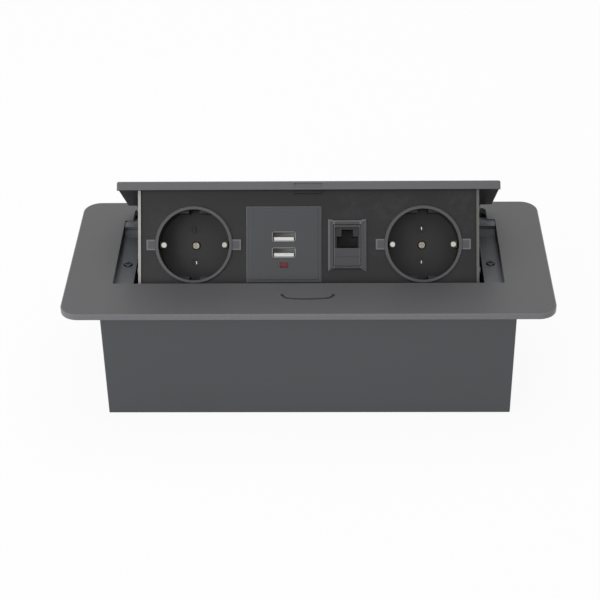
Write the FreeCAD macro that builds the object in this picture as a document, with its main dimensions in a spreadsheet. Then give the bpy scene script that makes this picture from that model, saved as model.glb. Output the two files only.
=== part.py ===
import FreeCAD
import Part
import Sketcher
import math
import os

# In-desk power module, shown with its socket carrier swung up out of the desk.
# Millimetres. X runs to the right and Y to the back of the desk. Z is up, and the
# origin is under the middle of the box, on the surface that it would stand on.

dimensions = {
    "plate_thickness": 3.4,
    "plate_corner": 10.0,
    "plate_edge": 0.5,
    "rim_side": 21.0,
    "rim_front": 6.5,
    "opening_side": 4.8,
    "opening_front_margin": 24.5,
    "opening_back_margin": 14.4,
    "opening_corner": 1.2,
    "notch_inset": 3.2,
    "notch_reach": 5.7,
    "notch_margin": 1.4,
    "notch_corner": 3.0,
    "mark_margin": 15.4,
    "mark_radius": 75.0,
    "mark_sweep": 7.9,
    "mark_hook": 4.4,
    "mark_hook_turn": 72.0,
    "mark_width": 1.7,
    "mark_depth": 0.8,
    "gasket_thickness": 0.8,
    "gasket_setback": 1.6,
    "gasket_clearance": 0.3,
    "box_room_side": 19.7,
    "box_room_behind": 20.0,
    "box_room_below": 9.1,
    "box_sheet": 1.0,
    "box_draft": 0.4,
    "box_bend": 0.8,
    "flange_front": 14.0,
    "flange_back": 22.0,
    "flange_setback": 3.8,
    "side_tab_width": 24.0,
    "desk_hole_radius": 2.1,
    "desk_hole_span": 70.0,
    "desk_hole_drop": 18.0,
    "screw_head_radius": 2.5,
    "screw_head": 1.6,
    "shelf_screw_head": 0.85,
    "cable_hole_radius": 9.0,
    "cable_hole_height": 20.5,
    "cable_hole_side": 70.0,
    "grommet_lip": 2.0,
    "grommet_wall": 3.0,
    "grommet_thickness": 1.6,
    "shelf_gap": 4.7,
    "shelf_width": 11.2,
    "shelf_drop": 6.0,
    "shelf_front_margin": 18.0,
    "shelf_back_gap": 1.1,
    "shelf_screw_inset": 4.9,
    "bracket_sheet": 1.5,
    "bracket_bottom": 41.4,
    "bracket_waist": 20.0,
    "bracket_foot": 12.0,
    "bracket_foot_height": 18.0,
    "bracket_fit": 0.02,
    "block_width": 9.9,
    "block_step": 2.2,
    "block_setback": 2.4,
    "strip_margin": 23.5,
    "strip_drop": 0.6,
    "strip_gap": 0.3,
    "strip_end_gap": 1.0,
    "catch_width": 22.0,
    "catch_margin": 6.0,
    "catch_gap": 0.2,
    "catch_height": 8.6,
    "catch_wall": 2.0,
    "magnet_gap": 0.9,
    "magnet_width": 16.0,
    "magnet_height": 4.4,
    "magnet_drop": 5.3,
    "magnet_clearance": 0.05,
    "open_angle": 40.6,
    "hinge_inset": 5.5,
    "hinge_drop": 25.0,
    "hinge_pin_radius": 2.0,
    "hinge_clearance": 0.05,
    "hinge_boss": 3.8,
    "hinge_head_radius": 3.6,
    "hinge_head": 1.4,
    "moving_gap": 0.3,
    "stop_reach": 18.0,
    "stop_angle": 165.0,
    "stop_radius": 2.0,
    "stop_clearance": 0.3,
    "lid_gap_side": 1.7,
    "lid_gap_front": 0.7,
    "lid_gap_back": 3.9,
    "lid_sheet": 3.0,
    "lid_rim": 4.8,
    "lid_rim_sheet": 1.7,
    "lid_corner": 1.2,
    "scoop_width": 15.5,
    "scoop_depth": 0.5,
    "scoop_height": 2.4,
    "striker_sheet": 0.9,
    "striker_drop": 6.5,
    "striker_gap": 0.2,
    "panel_setback": 3.2,
    "panel_lean": 7.6,
    "panel_top": 0.5,
    "panel_margin_side": 3.1,
    "panel_margin_top": 10.1,
    "panel_margin_bottom": 4.9,
    "panel_sheet": 2.0,
    "panel_gap": 0.1,
    "cheek_sheet": 1.5,
    "cheek_proud": 1.2,
    "cheek_tab": 8.0,
    "cheek_tab_length": 30.0,
    "cheek_screw_head_radius": 2.6,
    "cheek_screw_head": 1.0,
    "cheek_screw_behind": 6.0,
    "rivet_spacing": 14.0,
    "rivet_head_radius": 2.2,
    "rivet_head": 0.5,
    "return_depth": 10.0,
    "return_sheet": 1.2,
    "cover_sheet": 1.2,
    "cover_top": 7.4,
    "cover_margin": 3.0,
    "cable_slot_width": 10.0,
    "cable_slot_height": 8.0,
    "socket_bore": 19.7,
    "socket_ring_width": 1.8,
    "socket_ring_height": 1.6,
    "socket_wall": 0.9,
    "socket_well": 17.5,
    "socket_floor": 3.0,
    "socket_flat": 17.6,
    "socket_key": 6.0,
    "socket_key_drop": 4.0,
    "socket_pin_span": 19.0,
    "socket_pin_radius": 2.6,
    "socket_tab": 4.7,
    "socket_tab_height": 5.8,
    "socket_screw_radius": 2.35,
    "clip_width": 3.8,
    "clip_sheet": 0.7,
    "clip_bulge": 4.0,
    "contact_radius": 3.6,
    "contact_length": 8.2,
    "contact_set": 2.0,
    "contact_margin": 2.6,
    "contact_clearance": 0.05,
    "usb_gap": 3.0,
    "usb_width": 41.6,
    "usb_height": 42.4,
    "usb_low": 0.1,
    "usb_proud": 1.4,
    "usb_step": 0.3,
    "usb_border": 1.8,
    "usb_rebate": 3.3,
    "usb_body_depth": 20.0,
    "port_width": 13.1,
    "port_height": 5.6,
    "port_spacing": 8.8,
    "port_sheet": 0.35,
    "port_length": 14.0,
    "port_proud": 0.3,
    "tongue_width": 11.0,
    "tongue_height": 1.9,
    "led_width": 4.6,
    "led_height": 2.7,
    "led_down": 11.2,
    "middle_gap": 3.6,
    "net_gap": 5.2,
    "net_border": 4.7,
    "net_label_room": 18.8,
    "net_low": 0.5,
    "net_proud": 2.2,
    "net_bevel": 1.0,
    "net_rebate": 2.4,
    "net_flare": 1.3,
    "net_rim": 2.9,
    "net_groove": 0.5,
    "net_groove_depth": 0.7,
    "net_bezel_drop": 0.25,
    "jack_width": 11.8,
    "jack_height": 6.4,
    "jack_key_width": 6.4,
    "jack_key_height": 3.8,
    "jack_low": 1.6,
    "jack_depth": 15.0,
    "jack_wall": 1.5,
    "jack_recess": 13.8,
    "jack_recess_height": 11.6,
    "label_height": 5.2,
    "label_up": 3.2,
    "label_depth": 0.35,
}

doc = FreeCAD.newDocument("desk_power_module")
sheet = doc.addObject("Spreadsheet::Sheet", "Sizes")


class Size:
    # A length or angle that carries its number and the formula that the document keeps.

    def __init__(self, number, formula):
        self.number = number
        self.formula = formula

    def __add__(self, other):
        other = as_size(other)
        return Size(self.number + other.number, f"({self.formula} + {other.formula})")

    def __sub__(self, other):
        other = as_size(other)
        return Size(self.number - other.number, f"({self.formula} - {other.formula})")

    def __mul__(self, other):
        other = as_size(other)
        return Size(self.number * other.number, f"({self.formula} * {other.formula})")

    def __truediv__(self, other):
        other = as_size(other)
        return Size(self.number / other.number, f"({self.formula} / {other.formula})")

    def __neg__(self):
        return Size(-self.number, f"(0 - {self.formula})")

    def __radd__(self, other):
        return as_size(other) + self

    def __rsub__(self, other):
        return as_size(other) - self

    def __rmul__(self, other):
        return as_size(other) * self


def as_size(value):
    if isinstance(value, Size):
        return value
    return Size(float(value), f"({float(value)})")


def sine(angle):
    angle = as_size(angle)
    return Size(math.sin(math.radians(angle.number)), f"sin({angle.formula})")


def cosine(angle):
    angle = as_size(angle)
    return Size(math.cos(math.radians(angle.number)), f"cos({angle.formula})")


def root(value):
    return Size(math.sqrt(value.number), f"sqrt({value.formula})")


class Sizes:
    # The spreadsheet's cells, read by name.

    def __init__(self, table):
        self.row = 0
        for alias, number in table.items():
            self.write(alias, str(number), number)

    def write(self, alias, text, number):
        self.row += 1
        sheet.set(f"A{self.row}", alias)
        sheet.set(f"B{self.row}", text)
        sheet.setAlias(f"B{self.row}", alias)
        setattr(self, alias, Size(number, f"Sizes.{alias}"))

    def follow(self, alias, size):
        # A size that follows from others. The sheet keeps its formula.
        self.write(alias, "=" + size.formula.replace("Sizes.", ""), size.number)


s = Sizes(dimensions)

# The outlets set the width, height and depth of the socket panel and its wiring cover.
# The box fits round those, and the faceplate and the lid fit the box.

s.follow("net_width", s.jack_width + s.net_border * 2)
s.follow("net_height", s.jack_height + s.jack_key_height + s.net_label_room)
s.follow("socket_ring", s.socket_bore + s.socket_ring_width)
s.follow("socket_tab_reach", s.socket_ring + s.socket_tab)
s.follow("half_middle", (s.usb_gap + s.usb_width + s.middle_gap + s.net_width + s.net_gap) / 2)
s.follow("socket_side", s.half_middle + s.socket_tab_reach)
s.follow("usb_side", s.usb_gap + s.usb_width / 2 - s.half_middle)
s.follow("net_side", s.half_middle - s.net_gap - s.net_width / 2)
s.follow("panel_width", (s.socket_side + s.socket_tab_reach + s.panel_margin_side) * 2)
s.follow("panel_height", s.panel_margin_top + s.socket_ring * 2 + s.panel_margin_bottom)
s.follow("socket_down", s.panel_margin_top + s.socket_ring)
s.follow("cup_depth", s.socket_well + s.socket_floor + s.clip_sheet)
s.follow("cover_depth", s.cup_depth + s.contact_set + s.contact_length + s.contact_margin)
s.follow("cover_bottom", s.panel_height - s.cover_margin)
s.follow("box_width", s.panel_width + s.box_room_side * 2)
s.follow("half_box", s.cover_depth + s.box_room_behind)
s.follow("box_depth", s.half_box * 2)
s.follow("box_height", s.panel_height + s.box_room_below)
s.follow("plate_width", s.box_width + s.rim_side * 2)
s.follow("plate_depth", s.box_depth + s.rim_front * 2)
s.follow("opening_width", s.box_width - s.opening_side * 2)
s.follow("opening_front", s.half_box - s.opening_front_margin)
s.follow("opening_back", s.half_box - s.opening_back_margin)
s.follow("shelf_inner", s.panel_width / 2 + s.shelf_gap)
s.follow("shelf_outer", s.shelf_inner + s.shelf_width)
s.follow("shelf_front", s.half_box - s.shelf_front_margin)
s.follow("shelf_screw_side", s.shelf_inner + s.shelf_screw_inset)
s.follow("block_outer", s.shelf_inner + s.block_width)
s.follow("notch_inner", s.panel_width / 2 - s.notch_inset)
s.follow("notch_outer", s.shelf_inner + s.notch_reach)
s.follow("notch_back", s.half_box - s.notch_margin)
s.follow("shelf_back", s.notch_back - s.shelf_back_gap)
s.follow("web_back", s.opening_back - s.strip_gap)
s.follow("hinge_back", s.half_box - s.hinge_inset)
s.follow("strip_front", s.half_box - s.strip_margin)
s.follow("lid_width", s.opening_width - s.lid_gap_side * 2)
s.follow("lid_front", s.opening_front - s.lid_gap_front)
s.follow("lid_length", s.lid_front + s.strip_front - s.lid_gap_back)
s.follow("catch_front", s.half_box - s.catch_margin)
s.follow("catch_back", s.opening_front - s.catch_gap)
s.follow("magnet_back", s.lid_front - s.magnet_gap)
s.follow("mark_front", s.plate_depth / 2 - s.mark_margin)
s.follow("usb_body_width", s.usb_width - s.usb_rebate * 2)
doc.recompute()

top = s.box_height + s.plate_thickness
under_plate = s.box_height
hinge_y = s.hinge_back
hinge_z = top - s.hinge_drop
right_angle = 90
straight_down = 270
nodes = []


# Sketch outlines. Every corner and centre is held to the sketch's own axes.

def hold(sketch, kind, geometry, point, value):
    value = as_size(value)
    index = sketch.addConstraint(Sketcher.Constraint(kind, -1, 1, geometry, point, value.number))
    sketch.setExpression(f"Constraints[{index}]", value.formula)


def hold_radius(sketch, geometry, radius):
    radius = as_size(radius)
    index = sketch.addConstraint(Sketcher.Constraint("Radius", geometry, radius.number))
    sketch.setExpression(f"Constraints[{index}]", radius.formula)


def vector(x, y, z=0):
    return FreeCAD.Vector(as_size(x).number, as_size(y).number, as_size(z).number)


def polygon(points):
    def draw(sketch):
        first = sketch.GeometryCount
        count = len(points)
        for i in range(count):
            start = vector(*points[i])
            end = vector(*points[(i + 1) % count])
            sketch.addGeometry(Part.LineSegment(start, end), False)
        for i in range(count):
            following = first + (i + 1) % count
            sketch.addConstraint(Sketcher.Constraint("Coincident", first + i, 2, following, 1))
        for i, (x, y) in enumerate(points):
            hold(sketch, "DistanceX", first + i, 1, x)
            hold(sketch, "DistanceY", first + i, 1, y)
    return draw


def rectangle(left, right, low, high):
    return polygon([(left, low), (right, low), (right, high), (left, high)])


def centred(width, height, x=0, y=0):
    return rectangle(x - width / 2, x + width / 2, y - height / 2, y + height / 2)


def circle(x, y, radius):
    def draw(sketch):
        shape = Part.Circle(vector(x, y), FreeCAD.Vector(0, 0, 1), as_size(radius).number)
        geometry = sketch.addGeometry(shape, False)
        hold(sketch, "DistanceX", geometry, 3, x)
        hold(sketch, "DistanceY", geometry, 3, y)
        hold_radius(sketch, geometry, radius)
    return draw


def around(x, y, reach, angle):
    # The point at a distance and an angle from (x, y).
    return x + reach * cosine(angle), y + reach * sine(angle)


def disc(x, y, radius, sides=12):
    # A many-sided outline for small round pieces.
    step = 360 / sides
    return polygon([around(as_size(x), as_size(y), as_size(radius), step * (i + 0.5)) for i in range(sides)])


def cross(arm, slot):
    # A plus sign of two slots with the same length and width.
    a, b = arm / 2, slot / 2
    return polygon([
        (-a, -b), (-b, -b), (-b, -a), (b, -a), (b, -b), (a, -b),
        (a, b), (b, b), (b, a), (-b, a), (-b, b), (-a, b),
    ])


def arc_band(x, y, reach, start, end, half_width):
    # A band of even width along an arc about (x, y), with square ends.
    def draw(sketch):
        centre = vector(x, y)
        low, high = math.radians(as_size(start).number), math.radians(as_size(end).number)
        arcs = []
        for radius in (reach + half_width, reach - half_width):
            round_line = Part.Circle(centre, FreeCAD.Vector(0, 0, 1), radius.number)
            arc = sketch.addGeometry(Part.ArcOfCircle(round_line, low, high), False)
            hold(sketch, "DistanceX", arc, 3, x)
            hold(sketch, "DistanceY", arc, 3, y)
            hold_radius(sketch, arc, radius)
            for angle, point in ((start, 1), (end, 2)):
                end_x, end_y = around(x, y, radius, angle)
                if abs(math.sin(math.radians(as_size(angle).number))) > 0.7:
                    hold(sketch, "DistanceX", arc, point, end_x)
                else:
                    hold(sketch, "DistanceY", arc, point, end_y)
            arcs.append(arc)
        for angle, point in ((start, 1), (end, 2)):
            outer = vector(*around(x, y, reach + half_width, angle))
            inner = vector(*around(x, y, reach - half_width, angle))
            line = sketch.addGeometry(Part.LineSegment(outer, inner), False)
            sketch.addConstraint(Sketcher.Constraint("Coincident", line, 1, arcs[0], point))
            sketch.addConstraint(Sketcher.Constraint("Coincident", line, 2, arcs[1], point))
    return draw


# Solids. Each step goes from a low to a high coordinate along one axis of the piece.

def start_piece(name, keep=True):
    body = doc.addObject("PartDesign::Body", name)
    body.Label = name
    if keep:
        nodes.append(body)
    return body


def sketch_on(body, role, offset, outlines):
    sketch = body.newObject("Sketcher::SketchObject", f"{body.Name}_outline")
    plane = [feature for feature in body.Origin.OriginFeatures if feature.Role == role][0]
    offset = as_size(offset)
    sketch.AttachmentSupport = [(plane, "")]
    sketch.MapMode = "FlatFace"
    sketch.AttachmentOffset = FreeCAD.Placement(FreeCAD.Vector(0, 0, offset.number), FreeCAD.Rotation())
    sketch.setExpression(".AttachmentOffset.Base.z", offset.formula)
    for outline in outlines:
        outline(sketch)
    return sketch


def volume(body):
    doc.recompute()
    return body.Shape.Volume if body.Tip else 0.0


def add(body, axis, low, high, *outlines, draft=None):
    # Adds the outlines between two coordinates along axis. The XZ plane's normal is -Y.
    role, offset = {"Z": ("XY_Plane", low), "X": ("YZ_Plane", low), "Y": ("XZ_Plane", -as_size(high))}[axis]
    length = as_size(high) - low
    feature = body.newObject("PartDesign::Pad", f"{body.Name}_pad")
    feature.Profile = sketch_on(body, role, offset, outlines)
    feature.Length = length.number
    feature.setExpression("Length", length.formula)
    if draft is not None:
        feature.TaperAngle = draft.number
        feature.setExpression("TaperAngle", draft.formula)
    body.Tip = feature
    return feature


def cut(body, axis, low, high, *outlines, draft=None):
    # Cuts the outlines out between two coordinates along axis, and makes sure that it cut.
    before = volume(body)
    role, offset = {"Z": ("XY_Plane", high), "X": ("YZ_Plane", high), "Y": ("XZ_Plane", -as_size(low))}[axis]
    length = as_size(high) - low
    feature = body.newObject("PartDesign::Pocket", f"{body.Name}_pocket")
    feature.Profile = sketch_on(body, role, offset, outlines)
    feature.Length = length.number
    feature.setExpression("Length", length.formula)
    if draft is not None:
        feature.TaperAngle = draft.number
        feature.setExpression("TaperAngle", draft.formula)
    body.Tip = feature
    if volume(body) > before - 1e-6:
        raise RuntimeError(f"{body.Label}: a cut along {axis} removed nothing")
    return feature


def turn(body, *outlines, axis="Z"):
    # Turns outlines of (radius, height) about the piece's own Z axis, or (x, radius) about X.
    sketch = sketch_on(body, "XZ_Plane", 0, outlines)
    feature = body.newObject("PartDesign::Revolution", f"{body.Name}_turn")
    feature.Profile = sketch
    feature.ReferenceAxis = (sketch, ["V_Axis" if axis == "Z" else "H_Axis"])
    feature.Angle = 360
    body.Tip = feature
    return feature


def dress(body, kind, size, chooser):
    # Rounds or chamfers the edges that chooser picks.
    doc.recompute()
    edges = [f"Edge{i}" for i, edge in enumerate(body.Tip.Shape.Edges, 1) if chooser(edge)]
    if not edges:
        raise RuntimeError(f"{body.Label}: no edge to dress")
    base = body.Tip
    feature = body.newObject(f"PartDesign::{kind}", f"{body.Name}_{kind.lower()}")
    feature.Base = (base, edges)
    key = "Radius" if kind == "Fillet" else "Size"
    setattr(feature, key, size.number)
    feature.setExpression(key, size.formula)
    body.Tip = feature
    doc.recompute()
    if not feature.Shape.isValid() or feature.State != ["Up-to-date"]:
        raise RuntimeError(f"{body.Label}: {kind} failed")


def place(body, x=0, y=0, z=0, angle=0):
    # Sets a piece at a point, tipped about X.
    x, y, z, angle = as_size(x), as_size(y), as_size(z), as_size(angle)
    turned = FreeCAD.Rotation(FreeCAD.Vector(1, 0, 0), angle.number if angle.number else 1e-9)
    body.Placement = FreeCAD.Placement(vector(x, y, z), turned)
    body.setExpression(".Placement.Base.x", x.formula)
    body.setExpression(".Placement.Base.y", y.formula)
    body.setExpression(".Placement.Base.z", z.formula)
    if angle.number:
        body.setExpression(".Placement.Rotation.Angle", angle.formula)


def compound(name, members):
    group = doc.addObject("Part::Compound", name)
    group.Label = name
    group.Links = members
    nodes.append(group)
    return group


def near(value, size, slack=1e-4):
    return abs(value - as_size(size).number) < slack


def upright(edge):
    first, last = edge.Vertexes[0].Point, edge.Vertexes[-1].Point
    return len(edge.Vertexes) == 2 and math.hypot(first.x - last.x, first.y - last.y) < 1e-6


def flat_at(edge, height):
    return near(edge.BoundBox.ZMin, height) and near(edge.BoundBox.ZMax, height)


def at_side(edge, half):
    return near(abs(edge.BoundBox.XMin), half)


def lowest_y(edge, y):
    return near(edge.BoundBox.YMin, y) and near(edge.BoundBox.YMax, y)


# The carrier swings about the hinge. Its frame sits on the hinge line with the lid shut,
# and the whole carrier is shown turned up by the open angle.

panel_y = s.panel_setback - s.lid_front - s.hinge_back
panel_z = s.hinge_drop - s.lid_sheet
panel_turn = right_angle + s.panel_lean - s.open_angle


def panel_point(down, behind):
    # A point on the socket panel, in the carrier's frame, from its top edge and its face.
    down, behind = as_size(down), as_size(behind)
    y = panel_y + down * sine(s.panel_lean) + behind * cosine(s.panel_lean)
    z = panel_z - down * cosine(s.panel_lean) + behind * sine(s.panel_lean)
    return y, z


def place_on_carrier(body):
    place(body, 0, hinge_y, hinge_z, -s.open_angle)


def place_on_panel(body, side=0, down=0, behind=0):
    y, z = panel_point(down, behind)
    world_y = hinge_y + y * cosine(s.open_angle) + z * sine(s.open_angle)
    world_z = hinge_z - y * sine(s.open_angle) + z * cosine(s.open_angle)
    place(body, side, world_y, world_z, panel_turn)


def across(side, inner, outer):
    # The low and high X of something between two distances from the middle, on one side.
    return (inner, outer) if side > 0 else (-as_size(outer), -as_size(inner))


def screw(name, head_radius, head):
    # A pan head that sits on height 0, with a crossed recess.
    body = start_piece(name, keep=False)
    waist = head * 0.5
    add(body, "Z", 0, waist, disc(0, 0, head_radius, 16))
    add(body, "Z", waist, head, disc(0, 0, head_radius, 16), draft=as_size(-35))
    cut(body, "Z", head * 0.3, head + 1, cross(head_radius * 1.3, head_radius * 0.3))
    return body


def tangent(radius, y, z, turn_left):
    # Where a line from (y, z) touches a circle about the origin.
    reach = root(y * y + z * z)
    along = radius * radius / (reach * reach)
    aside = radius * root(reach * reach - radius * radius) / (reach * reach) * turn_left
    return y * along - z * aside, z * along + y * aside


# The housing: faceplate, box, brackets and what is fixed to them.

half_box = s.half_box
half_panel = s.panel_width / 2
draft_slope = sine(s.box_draft) / cosine(s.box_draft)
shelf_z = top - s.shelf_drop
web_outer = s.shelf_inner + s.bracket_sheet
foot_low = top - s.bracket_bottom
foot_high = foot_low + s.bracket_foot_height
foot_y = half_box - s.box_sheet - (under_plate - foot_low) * draft_slope - s.bracket_fit
shelf_screw_y = 0


def build_faceplate():
    body = start_piece("faceplate")
    add(body, "Z", under_plate, top, centred(s.plate_width, s.plate_depth))
    dress(body, "Fillet", s.plate_corner, upright)
    dress(body, "Chamfer", s.plate_edge, lambda edge: flat_at(edge, top))
    half = s.opening_width / 2
    front, back = -s.opening_front, s.opening_back
    cut(body, "Z", under_plate - 1, top + 1, polygon([
        (-half, front), (half, front), (half, back), (s.notch_outer, back),
        (s.notch_outer, s.notch_back), (s.notch_inner, s.notch_back), (s.notch_inner, back),
        (-s.notch_inner, back), (-s.notch_inner, s.notch_back), (-s.notch_outer, s.notch_back),
        (-s.notch_outer, back), (-half, back),
    ]))
    dress(body, "Fillet", s.notch_corner, lambda edge: upright(edge) and lowest_y(edge, s.notch_back))
    dress(body, "Fillet", s.opening_corner, lambda edge: upright(edge) and at_side(edge, half))
    # The shallow smile-shaped mark on the front margin.
    floor = top - s.mark_depth
    arch_y = s.mark_radius - s.mark_front
    half_width = s.mark_width / 2
    cut(body, "Z", floor, top + 1, arc_band(
        0, arch_y, s.mark_radius, straight_down - s.mark_sweep, straight_down + s.mark_sweep, half_width,
    ))
    hook_x = (s.mark_radius - s.mark_hook) * sine(s.mark_sweep)
    hook_y = arch_y - (s.mark_radius - s.mark_hook) * cosine(s.mark_sweep)
    swing = s.mark_sweep + s.mark_hook_turn
    right_start, right_end = straight_down + s.mark_sweep, straight_down + swing
    left_start, left_end = straight_down - swing, straight_down - s.mark_sweep
    cut(body, "Z", floor, top + 1,
        arc_band(hook_x, hook_y, s.mark_hook, right_start, right_end, half_width),
        arc_band(-hook_x, hook_y, s.mark_hook, left_start, left_end, half_width))
    cut(body, "Z", floor, top + 1,
        disc(*around(hook_x, hook_y, s.mark_hook, right_end), half_width, 16),
        disc(*around(-hook_x, hook_y, s.mark_hook, left_start), half_width, 16))
    return body


def build_rim_gasket():
    body = start_piece("rim_gasket")
    low = under_plate - s.gasket_thickness
    width = s.plate_width - s.gasket_setback * 2
    depth = s.plate_depth - s.gasket_setback * 2
    add(body, "Z", low, under_plate, centred(width, depth))
    dress(body, "Fillet", s.plate_corner - s.gasket_setback, upright)
    cut(body, "Z", low - 1, under_plate + 1, centred(
        s.box_width + s.gasket_clearance * 2, s.box_depth + s.gasket_clearance * 2,
    ))
    return body


def build_box_shell():
    body = start_piece("box_shell")
    narrow = under_plate * draft_slope * 2
    add(body, "Z", 0, under_plate, centred(s.box_width - narrow, s.box_depth - narrow), draft=s.box_draft)
    tall = s.box_height.number * 0.8
    dress(body, "Chamfer", s.box_bend * 0.5, lambda edge: flat_at(edge, 0))
    dress(body, "Fillet", s.box_bend, lambda edge: edge.BoundBox.ZLength > tall)
    cavity_width = s.box_width - s.box_sheet * 2
    cavity_depth = s.box_depth - s.box_sheet * 2
    cut(body, "Z", s.box_sheet, under_plate, centred(cavity_width, cavity_depth), draft=-s.box_draft)
    flange = under_plate - s.box_sheet
    half = half_panel - s.flange_setback
    edge = half_box - s.box_sheet / 2
    add(body, "Z", flange, under_plate, rectangle(-half, half, -edge, s.flange_front - half_box))
    add(body, "Z", flange, under_plate, rectangle(-half, half, half_box - s.flange_back, edge))
    tab_top = shelf_z - s.bracket_sheet
    wall = s.box_width / 2 - s.box_sheet / 2 - (under_plate - tab_top) * draft_slope
    for side in (-1, 1):
        low, high = across(side, web_outer + 0.5, wall)
        tab = rectangle(low, high, -s.side_tab_width / 2, s.side_tab_width / 2)
        add(body, "Z", tab_top - s.box_sheet, tab_top, tab)
    desk_z = under_plate - s.desk_hole_drop
    half_span = s.desk_hole_span / 2
    desk_holes = [circle(y, desk_z, s.desk_hole_radius) for y in (-half_span, half_span)]
    cut(body, "X", -s.box_width / 2 - 1, s.box_width / 2 + 1, *desk_holes)
    cable = circle(s.cable_hole_side, s.cable_hole_height, s.cable_hole_radius)
    cut(body, "Y", half_box - 5, half_box + 1, cable)
    return body


def build_bracket(name, side):
    body = start_piece(name)
    low, high = across(side, s.shelf_inner, web_outer)
    rear_top = hinge_z + s.hinge_boss + s.bracket_sheet * 3
    waist = top - s.bracket_waist
    add(body, "X", low, high, polygon([
        (-foot_y, foot_low), (-foot_y, foot_high), (-s.shelf_front, shelf_z), (s.web_back, shelf_z),
        (s.web_back, rear_top), (foot_y, rear_top), (foot_y, foot_low), (hinge_y - 28, foot_low),
        (hinge_y - 40, waist), (-s.shelf_front, waist), (-foot_y + 10, foot_low),
    ]))
    low, high = across(side, s.shelf_inner, s.shelf_outer)
    shelf = rectangle(low, high, -s.shelf_front, s.shelf_back)
    add(body, "Z", shelf_z - s.bracket_sheet, shelf_z, shelf)
    low, high = across(side, s.shelf_inner, web_outer + s.bracket_foot)
    foot = rectangle(low, high, foot_low, foot_high)
    add(body, "Y", -foot_y, s.bracket_sheet - foot_y, foot)
    add(body, "Y", foot_y - s.bracket_sheet, foot_y, foot)
    boss_start = half_panel + s.cheek_sheet + s.moving_gap
    low, high = across(side, boss_start, s.shelf_inner)
    add(body, "X", low, high, circle(hinge_y, hinge_z, s.hinge_head_radius))
    low, high = across(side, boss_start - 1, web_outer + 1)
    pin_hole = circle(hinge_y, hinge_z, s.hinge_pin_radius + s.hinge_clearance)
    shut_angle = s.stop_angle + s.open_angle
    half_width = s.stop_radius + s.stop_clearance
    cut(body, "X", low, high, pin_hole)
    cut(body, "X", low, high, arc_band(hinge_y, hinge_z, s.stop_reach, s.stop_angle, shut_angle, half_width))
    cut(body, "X", low, high,
        circle(*around(hinge_y, hinge_z, s.stop_reach, s.stop_angle), half_width),
        circle(*around(hinge_y, hinge_z, s.stop_reach, shut_angle), half_width))
    return body


def build_rear_strip():
    # The strip stands on the box's rear flange, and each end block on a bracket's shelf.
    body = start_piece("rear_strip")
    half = s.panel_width / 2 - s.strip_end_gap
    back = s.opening_back - s.strip_gap
    high = top - s.strip_drop
    add(body, "Z", under_plate, high, rectangle(-half, half, s.strip_front, back))
    dress(body, "Chamfer", s.plate_edge, lambda edge: flat_at(edge, high) and lowest_y(edge, s.strip_front))
    return body


def build_end_block(name, side):
    # A block whose front drops a step and then slopes down to the shelf.
    body = start_piece(name)
    low, high = across(side, s.shelf_inner, s.block_outer)
    ceiling = top - s.strip_drop
    back = s.opening_back - s.strip_gap
    step_z = ceiling - s.block_step
    front = s.strip_front + s.block_setback
    add(body, "X", low, high, polygon([
        (front - step_z + shelf_z, shelf_z), (back, shelf_z), (back, ceiling),
        (front, ceiling), (front, step_z),
    ]))
    return body


def build_shelf_screws():
    members = []
    for side in (-1, 1):
        body = screw("shelf_screw", s.screw_head_radius, s.shelf_screw_head)
        place(body, s.shelf_screw_side * side, shelf_screw_y, shelf_z)
        members.append(body)
    return compound("shelf_screws", members)


def build_hinge_pin(name, side):
    body = start_piece(name)
    inner = half_panel - s.moving_gap
    tail = web_outer + s.hinge_head
    tail_radius = s.hinge_head_radius * 0.7
    points = [
        (inner - s.hinge_head, 0), (inner - s.hinge_head, s.hinge_head_radius), (inner, s.hinge_head_radius),
        (inner, s.hinge_pin_radius), (web_outer, s.hinge_pin_radius), (web_outer, tail_radius),
        (tail, tail_radius), (tail, 0),
    ]
    turn(body, polygon([(x * side, radius) for x, radius in points]), axis="X")
    place(body, 0, hinge_y, hinge_z)
    return body


def build_cable_grommet():
    body = start_piece("cable_grommet")
    outer = s.cable_hole_radius + s.grommet_lip
    bore = s.cable_hole_radius - s.grommet_wall
    neck = s.cable_hole_radius - s.panel_gap
    half = s.box_sheet / 2 + s.bracket_fit
    turn(body, polygon([
        (bore, -half - s.grommet_thickness), (neck, -half - s.grommet_thickness), (neck, half),
        (outer, half), (outer, half + s.grommet_thickness), (bore, half + s.grommet_thickness),
    ]))
    wall = half_box - s.box_sheet / 2 - (under_plate - s.cable_hole_height) * draft_slope
    place(body, s.cable_hole_side, wall, s.cable_hole_height, -(right_angle + s.box_draft))
    return body


def build_catch():
    case = start_piece("catch_case")
    high = under_plate - s.box_sheet
    add(case, "Z", high - s.catch_height, high, rectangle(
        -s.catch_width / 2, s.catch_width / 2, -s.catch_front, -s.catch_back,
    ))
    dress(case, "Chamfer", s.plate_edge, lambda edge: flat_at(edge, high - s.catch_height))
    magnet_high = top - s.magnet_drop
    magnet_low = magnet_high - s.magnet_height
    pocket_front = s.catch_wall - s.catch_front
    half = s.magnet_width / 2
    gap = s.magnet_clearance
    cut(case, "Y", pocket_front, 1 - s.catch_back, rectangle(
        -half - gap, half + gap, magnet_low - gap, magnet_high + gap,
    ))
    magnet = start_piece("catch_magnet")
    add(magnet, "Y", pocket_front, -s.magnet_back, rectangle(-half, half, magnet_low, magnet_high))


# The carrier: lid, cheeks and socket panel. Its frame is the hinge line with the lid shut.

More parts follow.
